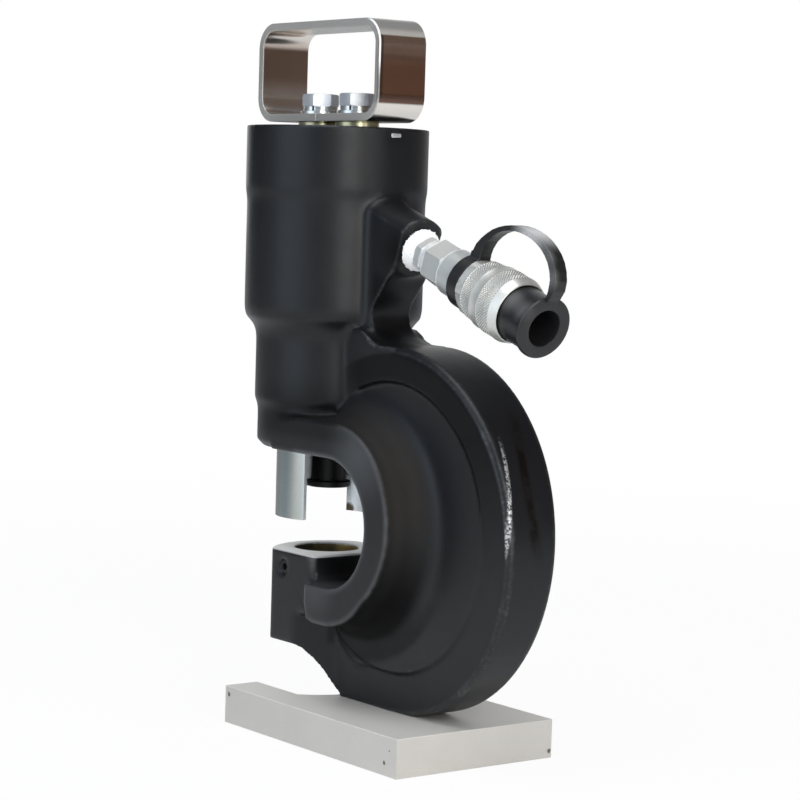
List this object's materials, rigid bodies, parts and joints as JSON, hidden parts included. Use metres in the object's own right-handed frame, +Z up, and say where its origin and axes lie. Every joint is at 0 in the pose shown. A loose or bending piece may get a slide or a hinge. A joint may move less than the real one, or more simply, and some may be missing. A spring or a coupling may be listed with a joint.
{
  "type": "hydraulic hole punch",
  "caption": "C-frame hydraulic hole punch with an upright ram barrel, carrying handle, slotted base plate, sleeve stripper and a slanted screw-on oil coupler with a tethered dust plug.",
  "frame": {"origin": "middle of the base plate's underside", "axes": "+Z up along the ram axis towards the handle, +X from the ram to the back of the throat, Y across the frame"},
  "size_m": [0.2703, 0.1108, 0.4185],
  "materials": {
    "black_paint": "satin black enamel over a cast surface",
    "plate_steel": "ground steel, satin",
    "black_oxide": "black oxide",
    "cap_black": "satin black enamel",
    "chrome": "polished chrome plate",
    "zinc": "bright zinc plate",
    "yellow_zinc": "yellow zinc plate",
    "bright_steel": "machined steel",
    "hard_chrome": "hard chrome plate",
    "spring_steel": "spring steel",
    "bronze": "bronze",
    "rubber": "matte black",
    "seal": "polyurethane",
    "tape": "sealing tape",
    "guide_plastic": "filled plastic"
  },
  "bodies": {
    "frame": {"frame": "black_paint", "base_plate": "plate_steel", "base_screws": "black_oxide", "end_cap": "cap_black", "cap_seal": "rubber", "cap_lock_key": "zinc", "handle": "chrome", "handle_bolts": "zinc", "spring_washers": "zinc", "flat_washers": "zinc", "handle_spacers": "yellow_zinc", "return_spring": "spring_steel", "rod_bush": "bronze", "rod_wiper": "rubber", "stripper": "bright_steel", "hex_nipple": "zinc", "thread_tape": "tape", "coupler_body": "zinc", "coupler_nose": "zinc", "nose_seal": "rubber", "poppet_spring": "spring_steel", "poppet_guide": "bright_steel", "dust_ring": "rubber", "dust_strap": "rubber"},
    "ram": {"ram": "hard_chrome", "piston": "bright_steel", "piston_seal": "seal", "backup_ring": "tape", "guide_ring": "guide_plastic", "punch_nut": "black_oxide"},
    "collar": {"coupler_collar": "zinc"},
    "poppet": {"valve_poppet": "bright_steel"},
    "dust_plug": {"dust_plug": "rubber"},
    "die_lock": {"die_lock_screw": "black_oxide"}
  },
  "joints": [
    {"name": "ram_stroke", "type": "slide", "parent": "frame", "child": "ram", "axis": [0, 0, -1], "range_m": [0, 0.026], "stiffness_N_per_m": 5000, "springref_m": -0.02, "deforming": ["return_spring"]},
    {"name": "collar_turn", "type": "hinge", "parent": "frame", "child": "collar", "pos_m": [0.0117, 0, 0.2898], "axis": [0.9461, 0, -0.3239], "continuous": true},
    {"name": "poppet_push", "type": "slide", "parent": "frame", "child": "poppet", "axis": [-0.9461, 0, 0.3239], "range_m": [0, 0.004], "stiffness_N_per_m": 800, "springref_m": -0.005, "deforming": ["poppet_spring"]},
    {"name": "dust_plug_pull", "type": "slide", "parent": "frame", "child": "dust_plug", "axis": [0.9461, 0, -0.3239], "range_m": [0, 0.016]},
    {"name": "die_lock_turn_in", "type": "slide", "parent": "frame", "child": "die_lock", "axis": [0, -1, 0], "range_m": [0, 0.004]}
  ]
}
